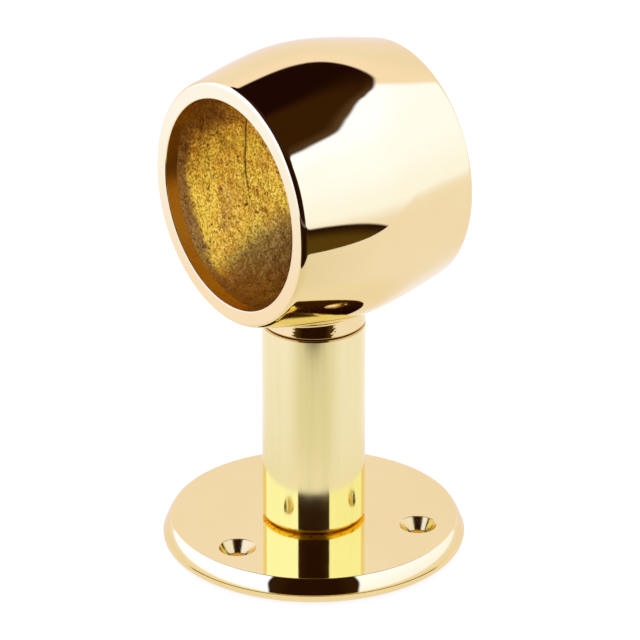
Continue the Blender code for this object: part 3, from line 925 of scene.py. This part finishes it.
def make_floor():
    """The pale floor that is seen, with a soft contact shadow; it is open from below."""
    floor = flat_sheet("floor", FLOOR_SIZE, FLOOR_SIZE, Vector((0, 0, -0.1 * MM)))
    material, n = new_material("pale_floor")
    place = n.add("TexCoord").outputs["Object"]
    mottle = n.noise(place, 4.0, 3.0)
    tone = n.blend(mottle, (0.93, 0.93, 0.93), (0.97, 0.97, 0.97))
    lit = n.add("BsdfDiffuse", {"Color": tone}).outputs[0]
    glow = n.add("Emission", {"Color": (1.0, 1.0, 1.0), "Strength": FLOOR_GLOW}).outputs[0]
    mix = n.add("MixShader", {"Fac": FLOOR_GLOW_SHARE})
    n.tree.links.new(lit, mix.inputs[1])
    n.tree.links.new(glow, mix.inputs[2])
    clear = n.add("BsdfTransparent").outputs[0]
    below = n.add("MixShader", {"Fac": n.add("NewGeometry").outputs["Backfacing"]})
    n.tree.links.new(mix.outputs[0], below.inputs[1])
    n.tree.links.new(clear, below.inputs[2])
    output = n.add("OutputMaterial")
    n.tree.links.new(below.outputs[0], output.inputs["Surface"])
    floor.data.materials.append(material)
    floor.visible_glossy = False


def make_table_mirror_image():
    """The lit table top that only the metal mirrors. It ends in front of the part, where the camera is."""
    depth = TABLE_REACH + TABLE_EDGE
    centre = TOWARD_CAMERA * (TABLE_EDGE - depth / 2) + Vector((0, 0, -0.2 * MM))
    table = flat_sheet("table_mirrored", 2 * TABLE_REACH, depth, centre)
    material, n = new_material("lit_table")
    place = n.add("TexCoord").outputs["Object"]
    side = n.dot(place, CAMERA_RIGHT)
    front = n.dot(place, TOWARD_CAMERA)
    azimuth = n.math("ABSOLUTE", n.math("DEGREES", n.math("ARCTAN2", side, front)))
    squares = n.math("ADD", n.math("MULTIPLY", side, side), n.math("MULTIPLY", front, front))
    distance = n.math("SQRT", squares)
    left_tone = n.blend(n.step(distance, 0.08, 0.17), TABLE, TABLE_LEFT)
    left_tone = n.blend(n.step(distance, 0.17, 0.32), left_tone, TABLE_LEFT_FAR)
    share = n.step(n.math("DIVIDE", side, distance), -0.3, 0.3)
    tone = n.blend(share, left_tone, TABLE)
    tone = n.blend(n.step(azimuth, 110.0, 150.0), tone, TABLE_BACK)
    tone = n.blend(n.step(azimuth, 142.0, 160.0), tone, TABLE_BEHIND)
    far_tone = n.scaled(n.blend(share, SOFTBOX_LEFT, SOFTBOX_RIGHT), SOFTBOX_LOW_TINT)
    far_tone = n.blend(n.step(azimuth, *SOFTBOX_END), far_tone, BACK_WALL)
    tone = n.blend(n.step(distance, 0.30, 1.30), tone, far_tone)
    tone = n.blend(n.math("MULTIPLY", n.step(azimuth, 62.0, 22.0), n.step(distance, 0.25, 0.15)),
                   tone, TABLE_FRONT)
    # Darker close round the part: painted shade of the part on the mirrored table.
    tone = n.blend(n.step(distance, 0.085, 0.045), tone, TABLE_NEAR)
    soft = n.noise(place, 30.0, 2.0)
    tone = n.blend(n.span(soft, 0.3, 0.7, 0.0, 0.05), tone, TABLE_FRONT)
    glow = n.add("Emission", {"Color": tone, "Strength": 1.0})
    output = n.add("OutputMaterial")
    n.tree.links.new(glow.outputs[0], output.inputs["Surface"])
    table.data.materials.append(material)
    for flag in ("visible_camera", "visible_diffuse", "visible_transmission", "visible_volume_scatter",
                 "visible_shadow"):
        setattr(table, flag, False)


def make_camera():
    camera = bpy.data.objects.new("camera", bpy.data.cameras.new("camera"))
    bpy.context.scene.collection.objects.link(camera)
    camera.data.lens = CAMERA_LENS
    camera.data.sensor_width = 36.0
    camera.data.clip_start = 0.05
    camera.data.clip_end = 50.0
    camera.location = CAMERA_PLACE
    camera.rotation_euler = CAMERA_LOOK.to_track_quat("-Z", "Y").to_euler()
    bpy.context.scene.camera = camera


def make_pieces():
    brass = polished_brass()
    steel = fastener_steel()
    countersunk = machined_brass("countersunk_brass", COUNTERSUNK_TONES, 0.13, 0.22)
    bored = machined_brass("bored_brass", BORED_TONES, 0.18, 0.28)
    make_flange([brass, countersunk])
    make_tube(tube_brass())
    make_head([brass, bored, cast_brass()])
    make_tie_rod(steel)
    make_washers(steel)
    make_nut(steel)
    make_grub_screw(steel)


scene = bpy.context.scene
scene.view_settings.view_transform = "Standard"
scene.cycles.max_bounces = 16
scene.cycles.glossy_bounces = 10
scene.cycles.use_denoising = True
make_camera()
studio_world()
make_floor()
make_table_mirror_image()
make_pieces()
